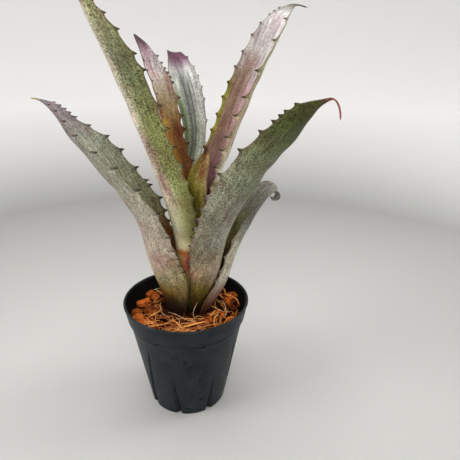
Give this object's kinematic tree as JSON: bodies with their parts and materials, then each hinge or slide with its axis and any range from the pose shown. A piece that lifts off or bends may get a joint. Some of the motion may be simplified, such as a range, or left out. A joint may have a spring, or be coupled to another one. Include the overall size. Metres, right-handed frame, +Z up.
{
  "type": "potted bromeliad",
  "caption": "Young bromeliad with arching spiny-edged leaves in a tapered black nursery pot filled with coconut husk.",
  "frame": {"origin": "middle of the pot's underside, on the surface that the pot stands on", "axes": "+Z up; +X to the right and +Y away from the viewer, as the plant is seen from the front"},
  "size_m": [0.1775, 0.1359, 0.2882],
  "materials": {
    "pot_plastic": "satin",
    "coconut_husk": "matte",
    "stem_bark": "matte",
    "leaf_outer_left_skin": "satin",
    "leaf_outer_right_skin": "satin",
    "leaf_front_right_skin": "satin",
    "leaf_front_left_skin": "satin",
    "leaf_back_right_skin": "satin",
    "leaf_back_left_skin": "satin",
    "leaf_back_skin": "satin",
    "leaf_heart_skin": "satin"
  },
  "bodies": {
    "root": {"pot": "pot_plastic", "growing_medium": "coconut_husk", "stem_base": "stem_bark", "leaf_outer_left": "leaf_outer_left_skin", "leaf_outer_right": "leaf_outer_right_skin", "leaf_front_right": "leaf_front_right_skin", "leaf_front_left": "leaf_front_left_skin", "leaf_back_right": "leaf_back_right_skin", "leaf_back_left": "leaf_back_left_skin", "leaf_back": "leaf_back_skin", "leaf_heart": "leaf_heart_skin"}
  },
  "joints": []
}
